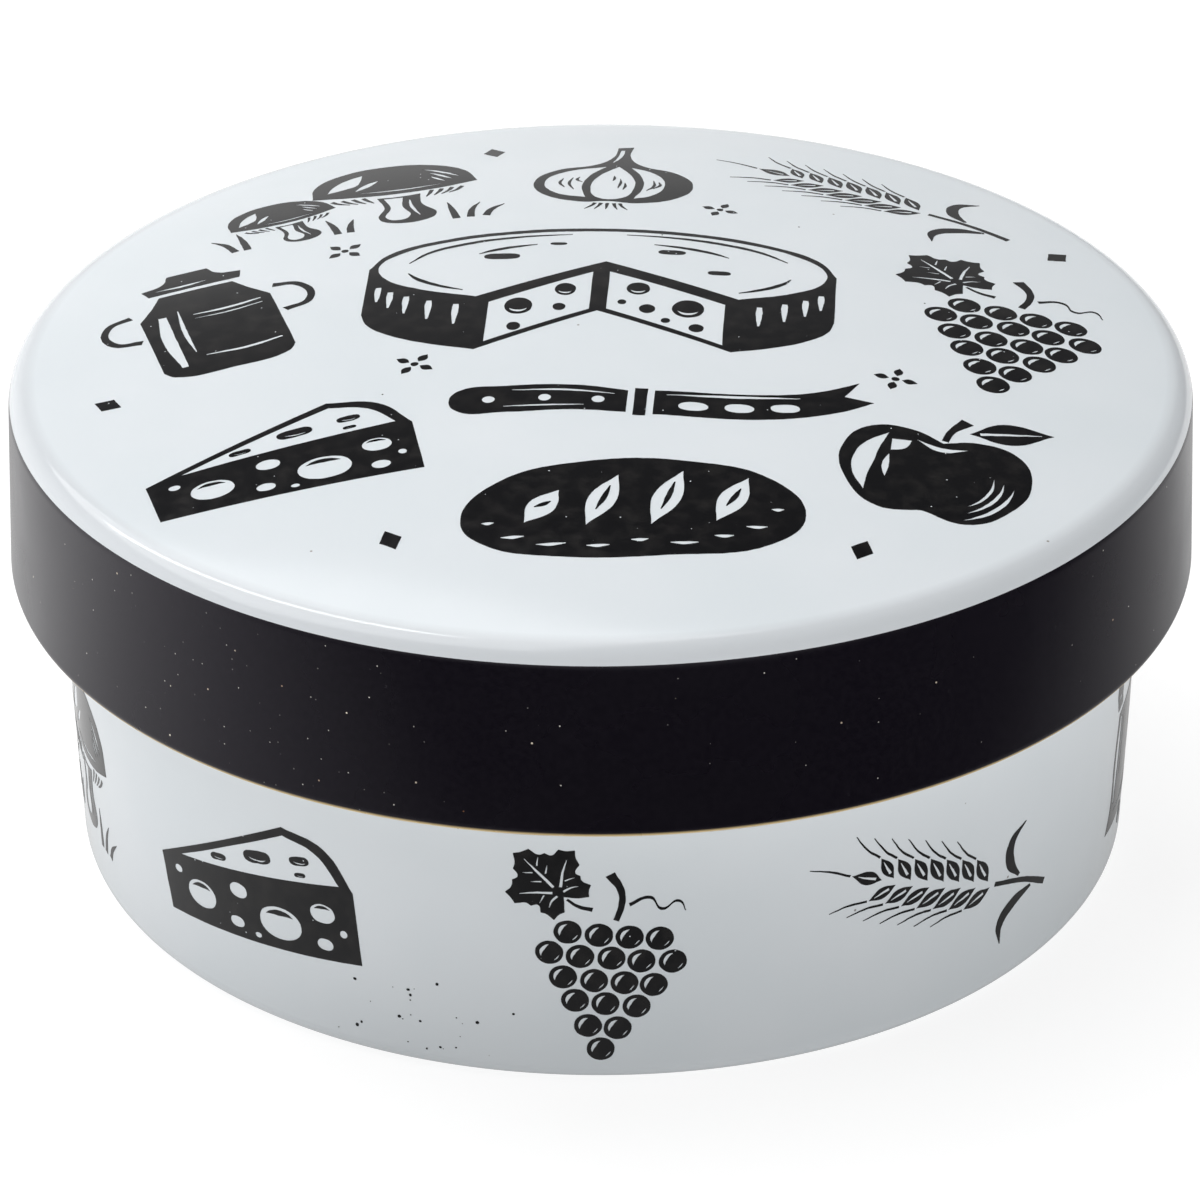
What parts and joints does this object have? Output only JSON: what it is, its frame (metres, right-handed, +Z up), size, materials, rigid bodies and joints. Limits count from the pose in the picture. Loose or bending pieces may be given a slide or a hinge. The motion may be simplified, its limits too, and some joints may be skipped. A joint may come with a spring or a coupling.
{
  "type": "camembert baker",
  "caption": "Round glazed porcelain baking dish with a deep overlapping cap lid, for baking and serving a small soft cheese.",
  "frame": {"origin": "on the table, under the middle of the dish's foot ring", "axes": "+Z up along the axis that the dish and the lid are turned about; X and Y lie in the table and are alike"},
  "size_m": [0.14, 0.14, 0.0674],
  "materials": {
    "white_glaze": "cool white porcelain under a clear gloss glaze",
    "black_band": "satin black colour fired on the lid's skirt",
    "black_print": "glossy black transfer print fired into the glaze",
    "bare_porcelain": "unglazed porcelain, smooth and dull"
  },
  "bodies": {
    "dish": {"dish": "white_glaze"},
    "lid": {"lid": "white_glaze"}
  },
  "joints": [
    {"name": "lid_lift", "type": "slide", "parent": "dish", "child": "lid", "axis": [0, 0, 1], "range_m": [0, 0.1]}
  ]
}
